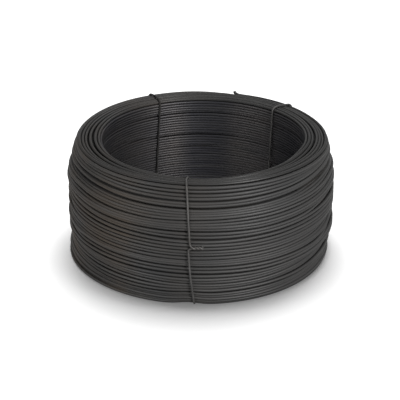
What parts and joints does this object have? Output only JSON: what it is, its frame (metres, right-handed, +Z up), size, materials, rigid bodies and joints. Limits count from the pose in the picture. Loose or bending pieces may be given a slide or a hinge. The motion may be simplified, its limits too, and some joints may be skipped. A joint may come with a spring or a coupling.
{
  "type": "coil of wire rod",
  "caption": "Tied coil of round dark steel wire rod standing on its end, with an open bore and wire ties round its section, raw stock for drawing or straightening.",
  "frame": {"origin": "on the floor, at the middle of the bore", "axes": "+Z up along the bore, -Y towards the tie in front"},
  "size_m": [0.4699, 0.4762, 0.2202],
  "materials": {
    "rod_steel": "as rolled, dark grey mill scale, dull",
    "tie_steel": "black annealed tie wire, rubbed brighter"
  },
  "bodies": {
    "root": {"wire_coil": "rod_steel", "tie_front": "tie_steel", "tie_back_left": "tie_steel", "tie_back_right": "tie_steel"}
  },
  "joints": []
}
